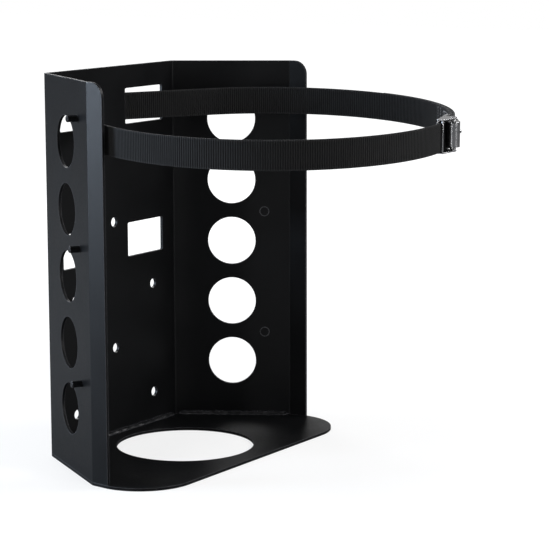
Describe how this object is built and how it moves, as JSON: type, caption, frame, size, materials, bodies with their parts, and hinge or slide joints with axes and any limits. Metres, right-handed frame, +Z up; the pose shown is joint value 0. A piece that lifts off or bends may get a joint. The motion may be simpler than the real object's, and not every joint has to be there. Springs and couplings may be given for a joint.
{
  "type": "gas cylinder bracket",
  "caption": "Folded sheet-steel bracket with a base plate and a cam-buckle webbing strap that holds an upright gas cylinder against a wall.",
  "frame": {"origin": "underside of the base plate, centred, straight below the back plate's front face", "axes": "+X along the back plate, -Y out of the open front, +Z up"},
  "size_m": [0.3054, 0.3268, 0.33],
  "materials": {
    "powder_coat": "satin black powder coat, fine texture",
    "peg_coat": "satin black powder coat over pressed-in studs",
    "webbing": "black ribbed polyester webbing",
    "stainless": "bright pressed stainless steel"
  },
  "bodies": {
    "bracket": {"shell": "powder_coat", "base_plate": "powder_coat", "weld_back": "powder_coat", "weld_left": "powder_coat", "weld_right": "powder_coat", "peg_left_low": "peg_coat", "peg_left_mid": "peg_coat", "peg_left_top": "peg_coat", "peg_right_low": "peg_coat", "peg_right_mid": "peg_coat", "peg_right_top": "peg_coat", "strap": "webbing", "buckle_frame": "stainless", "front_bar": "stainless", "anchor_bar": "stainless", "hinge_pin": "stainless", "spring_top": "stainless", "spring_bottom": "stainless"},
    "lever": {"cam_lever": "stainless"}
  },
  "joints": [
    {"name": "lever_hinge", "type": "hinge", "parent": "bracket", "child": "lever", "pos_m": [0.04358, -0.31597, 0.28456], "axis": [0.0436, 0.0314, -0.9986], "range_deg": [0, 100]}
  ]
}
